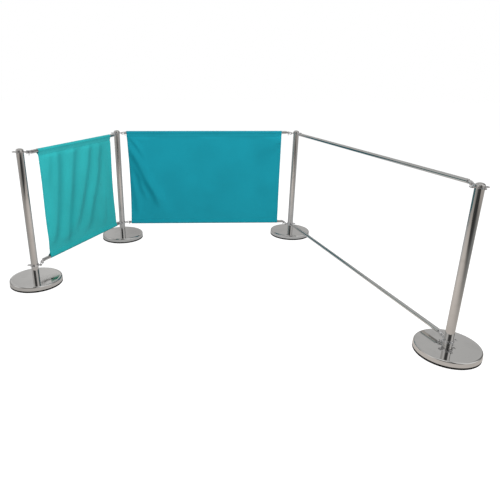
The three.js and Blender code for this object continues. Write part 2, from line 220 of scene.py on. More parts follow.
def addNode(tree, kind, links=None, **settings):
    node = tree.nodes.new(kind)
    for key, value in settings.items():
        setattr(node, key, value)
    for key, value in (links or {}).items():
        if isinstance(value, bpy.types.NodeSocket):
            tree.links.new(value, node.inputs[key])
        else:
            node.inputs[key].default_value = value
    return node


# Each of these adds one node, and gives back its output.
def maths(tree, operation, *values):
    return addNode(tree, "ShaderNodeMath", dict(enumerate(values)), operation=operation).outputs[0]


def vectorMaths(tree, operation, *values):
    return addNode(tree, "ShaderNodeVectorMath", dict(enumerate(values)), operation=operation).outputs[0]


def scaled(tree, vector, share):
    return addNode(tree, "ShaderNodeVectorMath", {0: vector, "Scale": share}, operation="SCALE").outputs[0]


def apart(tree, place, spot):
    return addNode(tree, "ShaderNodeVectorMath", {0: place, 1: spot}, operation="DISTANCE").outputs["Value"]


def mapped(tree, value, low, high, first=0, last=1, **settings):
    links = {"Value": value, "From Min": low, "From Max": high, "To Min": first, "To Max": last}
    return addNode(tree, "ShaderNodeMapRange", links, **settings).outputs[0]


def mixed(tree, share, first, second):
    # from the first colour to the second, each a socket or plain red, green and blue
    links = {0: share}
    for key, colour in ((6, first), (7, second)):
        links[key] = colour if isinstance(colour, bpy.types.NodeSocket) else (*colour, 1)
    return addNode(tree, "ShaderNodeMix", links, data_type="RGBA").outputs[2]


def noise(tree, place, scale, detail, **more):
    links = {"Vector": place, "Scale": scale, "Detail": detail, **more}
    return addNode(tree, "ShaderNodeTexNoise", links).outputs["Fac"]


def bump(tree, height, strength, distance):
    links = {"Height": height, "Strength": strength, "Distance": distance}
    return addNode(tree, "ShaderNodeBump", links).outputs[0]


def polishGroup():
    # buffing lines and faint smears on polished steel, in object metres
    group, given, out = newGroup(
        "polish",
        [("Lines", "NodeSocketVector", (900, 900, 14)), ("Smear Scale", "NodeSocketFloat", 9),
         ("Roughness", "NodeSocketFloat", 0.06), ("Smear", "NodeSocketFloat", 0.08)],
        [("Roughness", "NodeSocketFloat"), ("Height", "NodeSocketFloat"), ("Mask", "NodeSocketFloat")],
    )
    place = addNode(group, "ShaderNodeTexCoord").outputs["Object"]
    stretched = vectorMaths(group, "MULTIPLY", place, given.outputs["Lines"])
    lines = noise(group, stretched, 1, 3, Roughness=0.6)
    smears = noise(group, place, given.outputs["Smear Scale"], 4, Roughness=0.55, Distortion=0.6)
    patches = mapped(group, smears, 0.48, 0.72)
    smeared = maths(group, "MULTIPLY", patches, given.outputs["Smear"])
    fine = maths(group, "MULTIPLY", lines, given.outputs["Roughness"])
    group.links.new(maths(group, "ADD", smeared, fine), out.inputs["Roughness"])
    group.links.new(lines, out.inputs["Height"])
    group.links.new(patches, out.inputs["Mask"])
    return group


def weaveGroup():
    # a plain weave: crossing threads, slubs and slow dye variation, on a UV map in metres
    group, given, out = newGroup(
        "weave",
        [("Threads", "NodeSocketFloat", 1100), ("Slub", "NodeSocketFloat", 0.4)],
        [("Height", "NodeSocketFloat"), ("Shade", "NodeSocketFloat"), ("Cloud", "NodeSocketFloat")],
    )
    place = addNode(group, "ShaderNodeTexCoord").outputs["UV"]
    size = scaled(group, place, given.outputs["Threads"])
    warp, weft = (
        addNode(group, "ShaderNodeTexWave", {"Vector": size, "Scale": 0.5, "Distortion": 0.4},
                bands_direction=axis).outputs["Fac"]
        for axis in ("X", "Y")
    )
    crossed = maths(group, "MULTIPLY", warp, weft)
    slubs = noise(group, vectorMaths(group, "MULTIPLY", place, (60, 900, 1)), 1, 2)
    slub = maths(group, "MULTIPLY", slubs, given.outputs["Slub"])
    group.links.new(crossed, out.inputs["Height"])
    group.links.new(maths(group, "ADD", crossed, slub), out.inputs["Shade"])
    group.links.new(noise(group, place, 3.2, 3), out.inputs["Cloud"])
    return group


def stitchGroup():
    # a row of stitches at a distance along one UV axis, as a colour mask and the cloth's pucker beside it
    group, given, out = newGroup(
        "stitchRow",
        [("Across", "NodeSocketFloat", 0), ("Along", "NodeSocketFloat", 0),
         ("Pitch", "NodeSocketFloat", 0.0034)],
        [("Thread", "NodeSocketFloat"), ("Pucker", "NodeSocketFloat")],
    )
    away = maths(group, "ABSOLUTE", given.outputs["Across"])
    near = mapped(group, away, 0.0009, 0.0003)
    step = maths(group, "DIVIDE", given.outputs["Along"], given.outputs["Pitch"])
    dash = maths(group, "LESS_THAN", maths(group, "FRACT", step), 0.72)
    group.links.new(maths(group, "MULTIPLY", near, dash), out.inputs["Thread"])
    group.links.new(mapped(group, away, 0.005, 0.0), out.inputs["Pucker"])
    return group


polish, weave, stitchRow = polishGroup(), weaveGroup(), stitchGroup()


def newMaterial(name, **sockets):
    material = bpy.data.materials.new(name)
    material.use_nodes = True
    shader = material.node_tree.nodes["Principled BSDF"]
    for key, value in sockets.items():
        shader.inputs[key.replace("_", " ")].default_value = value
    return material, material.node_tree, shader


def useGroup(tree, group, **values):
    node = addNode(tree, "ShaderNodeGroup", node_tree=group)
    for key, value in values.items():
        label = key.replace("_", " ")
        if isinstance(value, bpy.types.NodeSocket):
            tree.links.new(value, node.inputs[label])
        else:
            node.inputs[label].default_value = value
    return node


# Polished steels: colour, colour where smeared, buffing lines per metre along each axis, and how rough and
# how deep they are
steels = {
    "tubeSteel": {"tone": (0.66, 0.65, 0.64), "worn": (0.60, 0.59, 0.575), "lines": (900, 900, 14),
                  "roughness": 0.10, "smear": 0.05, "depth": 0.35},
    "wornTubeSteel": {"tone": (0.66, 0.655, 0.65), "worn": (0.60, 0.595, 0.59), "lines": (900, 900, 14),
                      "roughness": 0.28, "smear": 0.08, "depth": 0.35},
    "baseSteel": {"tone": (0.70, 0.697, 0.69), "worn": (0.64, 0.637, 0.63), "lines": (260, 260, 260),
                  "roughness": 0.04, "smear": 0.05, "depth": 0.04},
    "railSteel": {"tone": (0.68, 0.685, 0.68), "worn": (0.62, 0.62, 0.61), "lines": (60, 60, 900),
                  "roughness": 0.30, "smear": 0.08, "depth": 0.3},
    "fittingSteel": {"tone": (0.72, 0.72, 0.73), "worn": (0.6, 0.6, 0.6), "lines": (500, 500, 500),
                     "roughness": 0.22, "smear": 0.12, "depth": 0.4},
}


def polishedSteel(name, tone, worn, lines, roughness, smear, depth):
    material, tree, shader = newMaterial(name, Metallic=1.0)
    finish = useGroup(tree, polish, Lines=lines, Roughness=roughness, Smear=smear)
    tree.links.new(mixed(tree, finish.outputs["Mask"], tone, worn), shader.inputs["Base Color"])
    tree.links.new(finish.outputs["Roughness"], shader.inputs["Roughness"])
    tree.links.new(bump(tree, finish.outputs["Height"], depth, 0.00002), shader.inputs["Normal"])
    return material


tubeSteel, wornTubeSteel, baseSteel, railSteel, fittingSteel = (
    polishedSteel(name, **look) for name, look in steels.items()
)


def rubberFinish():
    # black, with a little grey dust on it
    material, tree, shader = newMaterial("rubberEdge", Roughness=0.8, Specular_IOR_Level=0.15)
    place = addNode(tree, "ShaderNodeTexCoord").outputs["Object"]
    dust = mapped(tree, noise(tree, place, 22, 5), 0.5, 0.85)
    colour = mixed(tree, dust, (0.008, 0.008, 0.008), (0.022, 0.021, 0.020))
    tree.links.new(colour, shader.inputs["Base Color"])
    tree.links.new(bump(tree, noise(tree, place, 900, 2), 0.4, 0.0002), shader.inputs["Normal"])
    return material


def castFinish():
    material, tree, shader = newMaterial("castIron", Metallic=0.6)
    place = addNode(tree, "ShaderNodeTexCoord").outputs["Object"]
    pits = noise(tree, place, 420, 5)
    colour = mixed(tree, pits, (0.025, 0.025, 0.027), (0.07, 0.068, 0.066))
    tree.links.new(colour, shader.inputs["Base Color"])
    tree.links.new(mapped(tree, pits, 0, 1, 0.6, 0.85), shader.inputs["Roughness"])
    tree.links.new(bump(tree, pits, 0.8, 0.0006), shader.inputs["Normal"])
    return material


rubberEdge, castIron = rubberFinish(), castFinish()

# The banners' cloth: where the side hems are sewn, in metres, what painted shade takes from red, green and
# blue, how far stitches and their puckers stand out, and the level that polished steel mirrors the cloth at,
# a painted shade that dims the cloth in reflections
cloth = {"hem": 0.009, "paintedShade": (-2.6, -1, -0.95), "stitch": 1.2, "pucker": -1.6, "mirrored": 0.4}
clothTones = {
    "left": {"deep": (0.017, 0.302, 0.318), "bright": (0.034, 0.406, 0.416), "thread": (0.012, 0.27, 0.29)},
    "middle": {"deep": (0.006, 0.205, 0.270), "bright": (0.010, 0.293, 0.367), "thread": (0.008, 0.19, 0.24)},
}


def clothFinish(name, tones, width, seams):
    # seams are the rows of stitches along the sleeves, as UV heights
    material, tree, shader = newMaterial(name, Roughness=0.82, Sheen_Weight=0.05, Sheen_Roughness=0.5,
                                         Specular_IOR_Level=0.15)
    woven = useGroup(tree, weave)
    place = addNode(tree, "ShaderNodeTexCoord")
    axes = addNode(tree, "ShaderNodeSeparateXYZ", {0: place.outputs["UV"]})
    tone = mixed(tree, woven.outputs["Shade"], tones["deep"], tones["bright"])
    dyed = scaled(tree, tone, mapped(tree, woven.outputs["Cloud"], 0.3, 0.7, 0.94, 1.05))
    rows = [(axes.outputs["Y"], axes.outputs["X"], height) for height in seams]
    rows += [(axes.outputs["X"], axes.outputs["Y"], inset) for inset in (cloth["hem"], width - cloth["hem"])]
    threads, puckers = 0, 0
    for across, along, distance in rows:
        row = useGroup(tree, stitchRow, Across=maths(tree, "SUBTRACT", across, distance), Along=along)
        threads = maths(tree, "MAXIMUM", threads, row.outputs["Thread"])
        puckers = maths(tree, "MAXIMUM", puckers, row.outputs["Pucker"])
    sewn = mixed(tree, threads, dyed, tones["thread"])
    # painted shade in the folds, on the sleeves and toward the foot, read from a vertex attribute, darkens
    # the colour
    paintedShadeFac = addNode(tree, "ShaderNodeAttribute", attribute_name="paintedShade").outputs["Fac"]
    kept = vectorMaths(tree, "MULTIPLY_ADD", paintedShadeFac, cloth["paintedShade"], (1, 1, 1))
    # the puckers beside the seams also darken the colour a little: painted shade
    shaded = vectorMaths(tree, "MULTIPLY", sewn, scaled(tree, kept, mapped(tree, puckers, 0, 1, 1, 0.94)))
    # painted shade: polished steel mirrors the cloth dimmed, standing in for the shade on its hidden side
    path = addNode(tree, "ShaderNodeLightPath")  # in polished steel the cloth shows its shaded, deeper side
    level = mapped(tree, path.outputs["Is Glossy Ray"], 0, 1, 1, cloth["mirrored"])
    tree.links.new(scaled(tree, shaded, level), shader.inputs["Base Color"])
    drop = maths(tree, "MULTIPLY", puckers, cloth["pucker"])
    lift = maths(tree, "MULTIPLY", threads, cloth["stitch"])
    height = maths(tree, "ADD", maths(tree, "ADD", drop, lift), woven.outputs["Height"])
    tree.links.new(bump(tree, height, 0.5, 0.0003), shader.inputs["Normal"])
    return material


print("finishes made")

# Posts, each of seven pieces: rubber ring, iron weight, base cover, tube, lower ring, top ring and cap
post = {"height": 1000, "tubeRadius": 25.4, "tubeWall": 1.5, "topRing": 976, "sides": 72}
base = {
    "radius": 187.5, "height": 43, "rubber": 8, "rubberWidth": 40, "lip": 3.6, "lipWidth": 0.7, "wall": 1.5,
    "shoulder": 9, "turnIn": 3.5, "footInset": 1.3, "dish": [(2.5, 0.35), (5, 0.6), (9, 0.75)], "sides": 160,
}
ring = {"disc": 31, "reach": 41.5, "endRadius": 10.5, "holeRadius": 6.5, "thickness": 5, "edge": 0.8,
        "hubRadius": 30, "hubHeight": 16, "screwRadius": 2.4, "screwTurn": -45}
cap = {"spigotRadius": 23.3, "spigotLength": 30, "lead": 2.3, "skirt": 7.5}
gap = 0.3


def rubberRing(name, place):
    # flat ring with a thin lip that stands round the cover's foot
    outer, inner, high = base["radius"] - gap, base["radius"] - base["rubberWidth"], base["rubber"]
    middle, lipInner, lipTop = (outer + inner) / 2, outer - base["lipWidth"], high + base["lip"]
    outline = [(middle, 0), (outer, 0), (outer, lipTop), (lipInner, lipTop), (lipInner, high), (inner, high),
               (inner, 0), (middle, 0)]
    bm = bmesh.new()
    turned(bm, rounded(outline, 1.2), base["sides"], place)
    return asPiece(name, bm, rubberEdge)


def baseCover(name, place):
    # pressed cover: a foot that is turned in and set back behind the rubber's lip, an upright side with a
    # rolled shoulder, and a very slightly dished top
    outer, wall, foot, top = base["radius"], base["wall"], base["rubber"] + gap, base["height"]
    hole = post["tubeRadius"] - post["tubeWall"]
    edge, flange, setBack = outer - 2.0 - base["shoulder"], outer - base["turnIn"], outer - base["footInset"]
    outside = [(flange, foot), (outer - 1.8, foot), (setBack, foot + 0.5), (setBack, foot + base["lip"]),
               (outer, foot + base["lip"] + 0.8)]
    outside += arc((edge, top - base["shoulder"] - 0.4), base["shoulder"] + 0.4, 0, math.pi / 2, 12)
    outside += [(edge - inward, top - deep) for inward, deep in base["dish"]]
    outside += [(hole + 40, top - 0.4), (hole + 6, top - 0.15), (hole, top)]
    inward, deep = base["dish"][-1]
    inside = [(hole, top - wall), (edge - inward, top - deep - wall),
              (outer - wall - 2, top - base["shoulder"]), (outer - wall - 2, foot + wall),
              (flange, foot + wall), (flange, foot)]
    bm = bmesh.new()
    turned(bm, outside + inside, base["sides"], place)
    return asPiece(name, bm, baseSteel, 50)


def tubeOutline(outer, inner, low, high):
    # closed, from halfway up the outer wall, so that all four corners can be rounded
    middle = (low + high) / 2
    return [(outer, middle), (outer, high), (inner, high), (inner, low), (outer, low), (outer, middle)]


def postTube(name, place, finish):
    low, high = base["height"] + gap, post["topRing"] - ring["thickness"] / 2 - gap
    outline = tubeOutline(post["tubeRadius"], post["tubeRadius"] - post["tubeWall"], low, high)
    bm = bmesh.new()
    turned(bm, rounded(outline, 0.4, 2), post["sides"], place)
    return asPiece(name, bm, finish)


def ringPlate(bm, bore, place):
    # a disc with four round-ended lugs, a hole in each, and a small fillet where each lug leaves the disc
    neck = math.asin(ring["endRadius"] / ring["disc"]) + 0.02
    outline, holes = [], [arc((0, 0), bore, math.tau, 0, 48)[:-1]]
    for lug in range(4):
        turn = lug * math.pi / 2
        centre = (ring["reach"] * math.cos(turn), ring["reach"] * math.sin(turn))
        outline += arc(centre, ring["endRadius"], turn - math.pi / 2, turn + math.pi / 2, 20)
        outline += arc((0, 0), ring["disc"], turn + neck, turn + math.pi / 2 - neck, 8)
        holes.append(arc(centre, ring["holeRadius"], math.tau, 0, 28)[:-1])
    cutPlate(bm, [outline] + holes, ring["thickness"], ring["edge"], place)


def lowerRing(name, place, height):
    # lug plate between two half hubs, with a socket screw in the upper one
    at = place @ Matrix.Translation((0, 0, height * mm))
    bore = post["tubeRadius"] + gap
    bm = bmesh.new()
    ringPlate(bm, bore, at)
    half, top = ring["thickness"] / 2 - 0.05, ring["hubHeight"] / 2
    for low, high in ((half, top), (-top, -half)):
        outline = tubeOutline(ring["hubRadius"], bore, low, high)
        turned(bm, rounded(outline, 1.0, 3), post["sides"], at)
    spot = Matrix.Translation((0, -(ring["hubRadius"] - 0.6) * mm, (half + top) / 2 * mm))
    screw = at @ Matrix.Rotation(rad(ring["screwTurn"]), 4, "Z") @ spot @ Matrix.Rotation(math.pi / 2, 4, "X")
    size = ring["screwRadius"]
    head = [(0, -0.4), (size * 0.5, -0.4), (size * 0.5, 0.55), (size * 0.8, 0.7), (size, 0.3), (size, -0.6),
            (0, -0.6)]
    turned(bm, head, 6, screw)
    return asPiece(name, bm, fittingSteel)


def topRing(name, place):
    bm = bmesh.new()
    bore = post["tubeRadius"] - post["tubeWall"] + 0.01
    ringPlate(bm, bore, place @ Matrix.Translation((0, 0, post["topRing"] * mm)))
    return asPiece(name, bm, fittingSteel)


def postCap(name, place):
    # domed cap with a spigot into the tube, a short straight skirt and a groove above the ring
    seat = post["topRing"] + ring["thickness"] / 2 + gap
    radius, top, spigot = post["tubeRadius"], post["height"], cap["spigotRadius"]
    low, rise = seat - cap["spigotLength"], seat + cap["skirt"]
    dome = [(radius * math.sin(a), rise + (top - rise) * math.cos(a))
            for a in (math.pi / 2 * k / 18 for k in range(18, -1, -1))]
    dome[-1] = (0, top)
    outline = [(0, low), (spigot - cap["lead"], low), (spigot, low + 3), (spigot, seat), (radius - 0.8, seat),
               (radius, seat + 0.8), (radius, seat + 3.2), (radius - 0.7, seat + 3.9), (radius, seat + 4.6)]
    bm = bmesh.new()
    turned(bm, outline + dome, post["sides"], place)
    return asPiece(name, bm, tubeSteel, 60)


places, ringHeights = {}, {}
for name in ("left_end", "left_corner", "right_corner", "right_end"):
    low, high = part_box(f"{name}_base_cover")
    places[name] = Vector(((low.x + high.x) / 2, (low.y + high.y) / 2, 0))
    low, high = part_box(f"{name}_lower_ring")
    ringHeights[name] = (low.z + high.z) / 2 / mm

for name, spot in places.items():
    place, height = Matrix.Translation(spot), ringHeights[name]
    body = f"{name}_post"
    first, second = name.split("_")
    title = first + second.title()
    finish = wornTubeSteel if second == "corner" else tubeSteel
    standIn(rubberRing(f"{title}RubberRing", place), body, f"{name}_rubber_ring")
    standIn(baseCover(f"{title}BaseCover", place), body, f"{name}_base_cover")
    standIn(postTube(f"{title}Tube", place, finish), body, f"{name}_post_tube")
    standIn(lowerRing(f"{title}LowerRing", place, height), body, f"{name}_lower_ring")
    standIn(topRing(f"{title}TopRing", place), body, f"{name}_top_ring")
    standIn(postCap(f"{title}Cap", place), body, f"{name}_cap")
    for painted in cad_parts[f"{name}_base_weight"].material_slots:
        painted.material = castIron
print("posts made")

# Bays. Each runs from a lug hole of one post to a lug hole of the next. Each hook has its tilt in the lug, in
# degrees, and the way that its rail is pulled, 1 for up and -1 for down.
bays = {
    "left": {"from": "left_end", "lug": 0, "turn": 62.2, "to": "left_corner", "length": 1069,
             "top": ((-7, -1), (-10, -1)), "bottom": ((49, 1), (23, 1))},
    "middle": {"from": "left_corner", "lug": 0, "turn": 0, "to": "right_corner", "length": 1537,
               "top": ((9, -1), (14, -1)), "bottom": ((-2, 1), (43, 1))},
    "right": {"from": "right_corner", "lug": 270, "turn": -77.5, "to": "right_end", "length": 2061,
              "top": ((2, -1), (20, -1)), "bottom": ((15, -1), (22, -1))},
}
hook = {
    "wire": 3, "loop": 8, "rimPlace": 1.5, "lip": 3, "barrelRadius": 11.5, "barrelStart": 13,
    "barrelLength": 20, "neckRadius": 5, "knuckle": 37, "knuckleRadius": 7, "flangeGap": 4, "flangeLength": 4,
    "plugLength": 20, "boltRadius": 2.5, "boltLength": 19, "boltTravel": 8, "slotDepth": 16, "stubPlace": 20,
    "stubLength": 12, "knobRadius": 3.4, "knobHeight": 4,
}
rail = {"radius": 12.7, "wall": 1.2, "sides": 40}
rimMiddle = (ring["holeRadius"] + ring["endRadius"]) / 2


def seatOffset(tilt):
    # from the lug's middle to the hook's, when the claw's wire bears on the lug's rim
    rimHalf = ring["thickness"] / 2 * math.cos(tilt)
    rimLean = (ring["endRadius"] - ring["holeRadius"]) / 2 * abs(math.sin(tilt))
    return hook["loop"] - hook["wire"] - rimHalf - rimLean - gap


def knuckleOf(tilt, pull):
    # where the tilted hook holds its rail, out from the lug's hole and up
    seat, reach = pull * seatOffset(tilt), hook["knuckle"] - hook["rimPlace"]
    return (rimMiddle - seat * math.sin(tilt) + reach * math.cos(tilt),
            seat * math.cos(tilt) + reach * math.sin(tilt))


def inLug(at, tilt, pull):
    seated = Matrix.Translation((-hook["rimPlace"] * mm, 0, pull * seatOffset(tilt) * mm))
    return at @ Matrix.Translation((rimMiddle * mm, 0, 0)) @ Matrix.Rotation(-tilt, 4, "Y") @ seated


def hookFront():
    # claw and barrel of a snap hook, before it is tilted into its lug, with the slot that the bolt slides in
    bm = bmesh.new()
    start, end = hook["barrelStart"], hook["barrelStart"] + hook["barrelLength"]
    radius, neck, far = hook["barrelRadius"], hook["neckRadius"], hook["knuckle"]
    outline = [(0, start), (radius - 2.6, start), (radius - 0.6, start + 1.6), (radius - 0.6, start + 3.6),
               (radius - 1.4, start + 4.4), (radius - 1.4, start + 5.2), (radius, start + 6),
               (radius, end - 3), (radius - 0.9, end - 0.8), (radius - 3, end), (neck + 0.2, end),
               (neck, end + 0.5), (neck, far - 1), (neck + 0.6, far - 0.6), (neck + 0.4, far), (0, far)]
    turned(bm, rounded(outline, 0.5, 2), 40, alongX)
    cutter = bmesh.new()
    wide, deep = 2 * (hook["boltRadius"] + gap), hook["slotDepth"]
    first, last = start - 3, hook["stubPlace"] + hook["boltRadius"] + hook["boltTravel"] + gap
    middle = Vector(((first + last) / 2, 0, -hook["loop"] + hook["boltRadius"] + gap - deep / 2)) * mm
    size = Matrix.Diagonal(((last - first) * mm, wide * mm, deep * mm, 1))
    bmesh.ops.create_cube(cutter, size=1, matrix=Matrix.Translation(middle) @ size)
    for shape in (bm, cutter):
        bmesh.ops.recalc_face_normals(shape, faces=shape.faces)
    solids = [asObject("shape", shape) for shape in (bm, cutter)]
    cut = solids[0].modifiers.new("slot", "BOOLEAN")
    cut.operation, cut.solver, cut.object = "DIFFERENCE", "EXACT", solids[1]
    applied(solids[0])
    barrel = solids[0].data
    for solid in solids:
        bpy.data.objects.remove(solid)
    loop, wire = hook["loop"], hook["wire"]
    bend = [(x, 0, z) for x, z in arc((0, 0), loop, math.pi / 2, math.pi * 3 / 2, 24)]
    path = [(start + 2, 0, loop), (start - 4, 0, loop), (start - 8, 0, loop)] + bend
    path += [(hook["lip"] - 1.6, 0, -loop), (hook["lip"] - 0.5, 0, -loop), (hook["lip"], 0, -loop)]
    radii = [wire + 0.4, wire + 0.1] + [wire] * (len(path) - 4) + [wire * 0.86, wire * 0.5]
    bm = bmesh.new()
    bm.from_mesh(barrel)
    swept(bm, path, radii, 20)
    return bm


def hookPlug(bm, place):
    # flange and knuckle at a rail's end, with the spigot inside the rail
    radius, near = rail["radius"], hook["flangeGap"]
    far, spigot = near + hook["flangeLength"], rail["radius"] - rail["wall"] - gap
    knuckle = hook["knuckleRadius"]
    turns = [math.pi / 2 * k / 8 for k in range(9)]
    outline = [(knuckle * math.sin(a), -knuckle * math.cos(a)) for a in turns]
    outline += [(knuckle, near - 0.6), (knuckle + 0.6, near), (radius - 0.8, near), (radius, near + 0.8),
                (radius, far - 0.4), (radius - 0.4, far), (spigot, far), (spigot, far + hook["plugLength"]),
                (0, far + hook["plugLength"])]
    turned(bm, outline, 40, place @ alongX)


frontMesh = bpy.data.meshes.new("hookFront")
front = hookFront()
front.to_mesh(frontMesh)
front.free()


def snapHook(name, at, tilt, pull, slope):
    bm = bmesh.new()
    bm.from_mesh(frontMesh)
    bmesh.ops.transform(bm, matrix=inLug(at, tilt, pull), verts=bm.verts)
    reach, rise = knuckleOf(tilt, pull)
    hookPlug(bm, at @ Matrix.Translation((reach * mm, 0, rise * mm)) @ Matrix.Rotation(-slope, 4, "Y"))
    return asPiece(name, bm, fittingSteel)


def trigger(name, at, tilt, pull):
    # spring bolt with its thumb stub, nose against the claw's lip
    tilted = inLug(at, tilt, pull)
    radius, nose = hook["boltRadius"], hook["lip"] + gap
    tail = nose + hook["boltLength"]
    bm = bmesh.new()
    bolt = [(0, nose), (radius - 0.7, nose), (radius, nose + 0.7), (radius, tail - 0.4), (radius - 0.4, tail),
            (0, tail)]
    turned(bm, bolt, 24, tilted @ Matrix.Translation((0, 0, -hook["loop"] * mm)) @ alongX)
    low, knob, rise = -hook["stubLength"] - hook["knobHeight"], hook["knobRadius"], hook["knobHeight"] / 2
    stub = [(knob * math.sin(a), low + rise * (1 - math.cos(a)))
            for a in (math.pi * k / 12 for k in range(11))]
    stub += [(radius * 0.8, low + hook["knobHeight"]), (radius * 0.8, -0.5), (0, -0.5)]
    turned(bm, stub, 20, tilted @ Matrix.Translation((hook["stubPlace"] * mm, 0, -hook["loop"] * mm)))
    return asPiece(name, bm, fittingSteel)


def railPiece(name, place, length):
    outline = tubeOutline(rail["radius"], rail["radius"] - rail["wall"], 0, length)
    bm = bmesh.new()
    turned(bm, rounded(outline, 0.35, 2), rail["sides"], place @ alongX)
    return asPiece(name, bm, railSteel)


runs, bayPlaces = {}, {}
setBack = hook["flangeGap"] + hook["flangeLength"] + gap
for bayName, bay in bays.items():
    turn, length, body = rad(bay["turn"]), bay["length"], f"{bayName}_bay"
    toHole = Matrix.Rotation(rad(bay["lug"]), 3, "Z") @ Vector((ring["reach"] * mm, 0, 0))
    at = Matrix.Translation(places[bay["from"]] + toHole) @ Matrix.Rotation(turn, 4, "Z")
    bayPlaces[bayName] = at
    for level in ("top", "bottom"):
        lowHeights = [ringHeights[bay[end]] for end in ("from", "to")]
        heights = [post["topRing"]] * 2 if level == "top" else lowHeights
        (leftTilt, leftPull), (rightTilt, rightPull) = bay[level]
        leftReach, leftRise = knuckleOf(rad(leftTilt), leftPull)
        rightReach, rightRise = knuckleOf(rad(rightTilt), rightPull)
        start = Vector((leftReach, heights[0] + leftRise))
        end = Vector((length - rightReach, heights[1] + rightRise))
        slope = math.atan2(end.y - start.y, end.x - start.x)
        runs[bayName, level] = (start, slope)
        tubeStart = at @ Matrix.Translation((start.x * mm, 0, start.y * mm)) @ Matrix.Rotation(-slope, 4, "Y")
        tubeStart = tubeStart @ Matrix.Translation((setBack * mm, 0, 0))
        title = f"{bayName}{level.title()}"
        tube = railPiece(f"{title}Rail", tubeStart, (end - start).length - 2 * setBack)
        standIn(tube, body, f"{bayName}_{level}_rail")
        ends = (("left", 0, 0, slope), ("right", length, math.pi, -slope))
        for (side, away, around, rise), height, (tilt, pull) in zip(ends, heights, bay[level]):
            place = at @ Matrix.Translation((away * mm, 0, height * mm)) @ Matrix.Rotation(around, 4, "Z")
            claw = snapHook(f"{title}Hook{side.title()}", place, rad(tilt), pull, rise)
            standIn(claw, body, f"{bayName}_{level}_hook_{side}")
            bolt = trigger(f"{title}Trigger{side.title()}", place, rad(tilt), pull)
            node = f"{bayName}_{level}_trigger_{side}"
            standIn(bolt, node, node)
print("rails and hooks made")

# Banners: a panel between two sewn sleeves, set in from the bay's lug holes at its start and end, with the
# cut skewed a little at the top. It hangs a few millimetres in front of its rails' axes. Its folds get
# painted shade on one side, turned 1 for the right and -1 for the left, and lowShade is painted shade that
# darkens it toward the foot. A fold runs from place to place, each a share of the height and of the width. It
# has its reach to the left and right as shares of the width, its depth in millimetres, negative toward the
# front, the heights that it fades in and out at, and how much painted shade its turned side gets. A swell has
# its waves across the width, its shift and its height. The top sleeve goes from painted light, at the crease
# below the rail, to painted shade over the rail, and the bottom sleeve has painted shade.
sleeve = {
    "radius": 13.7, "drop": 32, "flap": 8, "fold": 4, "layer": 0.95, "flare": 5, "cloth": 0.8,
    "paintedLight": -0.05, "over": 0.10, "under": 0.075, "crease": (-22, 2), "stitch": 1.5,
}
banners = {
    "left": {
        "start": 105, "end": 92, "skew": (-2, 16), "columns": 200, "rows": 90, "pullIn": (-1, 9), "curl": 2,
        "hang": 5, "turned": 1, "lowShade": 0.09, "folds": [
            {"path": ((0.70, 0.06), (1.0, 0.105)),
             "reach": (0.06, 0.04), "depth": -5, "from": 0.72, "to": 1.0, "paintedShade": 0.06},
            {"path": ((0.0, 0.01), (0.27, 0.096), (0.45, 0.133), (0.64, 0.159), (0.83, 0.189), (1.0, 0.195)),
             "reach": (0.090, 0.060), "depth": -12, "from": 0.1, "to": 1.03, "paintedShade": 0.13},
            {"path": ((0.0, 0.220), (0.24, 0.258), (0.44, 0.296), (0.63, 0.338), (0.92, 0.392), (1.0, 0.41)),
             "reach": (0.080, 0.058), "depth": -12, "from": 0.0, "to": 1.03, "paintedShade": 0.15},
            {"path": ((0.0, 0.31), (0.21, 0.382), (0.35, 0.436), (0.54, 0.512), (0.79, 0.582), (1.0, 0.630)),
             "reach": (0.080, 0.056), "depth": -12, "from": 0.17, "to": 1.03, "paintedShade": 0.13},
            {"path": ((0.0, 0.50), (0.15, 0.556), (0.30, 0.598), (0.50, 0.675), (0.65, 0.727), (1.0, 0.80)),
             "reach": (0.080, 0.056), "depth": -10, "from": 0.08, "to": 0.98, "paintedShade": 0.14},
            {"path": ((0.0, 0.80), (0.5, 0.86)),
             "reach": (0.05, 0.03), "depth": -3, "from": 0.05, "to": 0.4, "paintedShade": 0.03},
        ],
        "swell": [(3.1, 0.4, 1.5), (7.3, 1.1, 0.8)],
    },
    "middle": {
        "start": 48, "end": 92, "skew": (-4, 4), "columns": 260, "rows": 90, "pullIn": (9, 1), "curl": 2,
        "hang": 8, "turned": -1, "lowShade": 0.0, "folds": [
            {"path": ((0.74, 0.104), (0.88, 0.068), (1.0, 0.014)),
             "reach": (0.016, 0.025), "depth": -5, "from": 0.80, "to": 0.97, "paintedShade": 0.13},
            {"path": ((0.17, 0.195), (0.31, 0.170), (0.48, 0.114), (0.67, 0.070), (0.80, 0.036), (0.9, 0.01)),
             "reach": (0.030, 0.045), "depth": -12, "from": 0.2, "to": 0.85, "paintedShade": 0.18},
            {"path": ((0.05, 0.150), (0.25, 0.115), (0.38, 0.082), (0.52, 0.068), (0.65, 0.034)),
             "reach": (0.022, 0.018), "depth": -6, "from": 0.30, "to": 0.65, "paintedShade": 0.12},
            {"path": ((0.0, 0.055), (0.25, 0.045), (0.5, 0.020), (1.0, 0.012)),
             "reach": (0.028, 0.02), "depth": -3, "from": 0.08, "to": 0.66, "paintedShade": 0.16},
        ],
        "swell": [(2.3, 0.2, 3), (4.9, 0.9, 1.5)],
    },
}
ease = 0.04  # share of the height that a fold's course is eased over
steepest = 2.33  # brings a bell's slope to 1 where it is steepest


def placeAlong(path, spot):
    # a fold's place at a share of the height, eased where its course turns
    def straight(at):
        for (low, first), (high, second) in zip(path, path[1:]):
            if at <= high or high == path[-1][0]:
                return first + (second - first) * (at - low) / (high - low)
    return sum(straight(spot + k * ease) for k in (-1, 0, 1)) / 3


def smoothStep(value, low, high):
    t = min(max((value - low) / (high - low), 0), 1)
    return t * t * (3 - 2 * t)


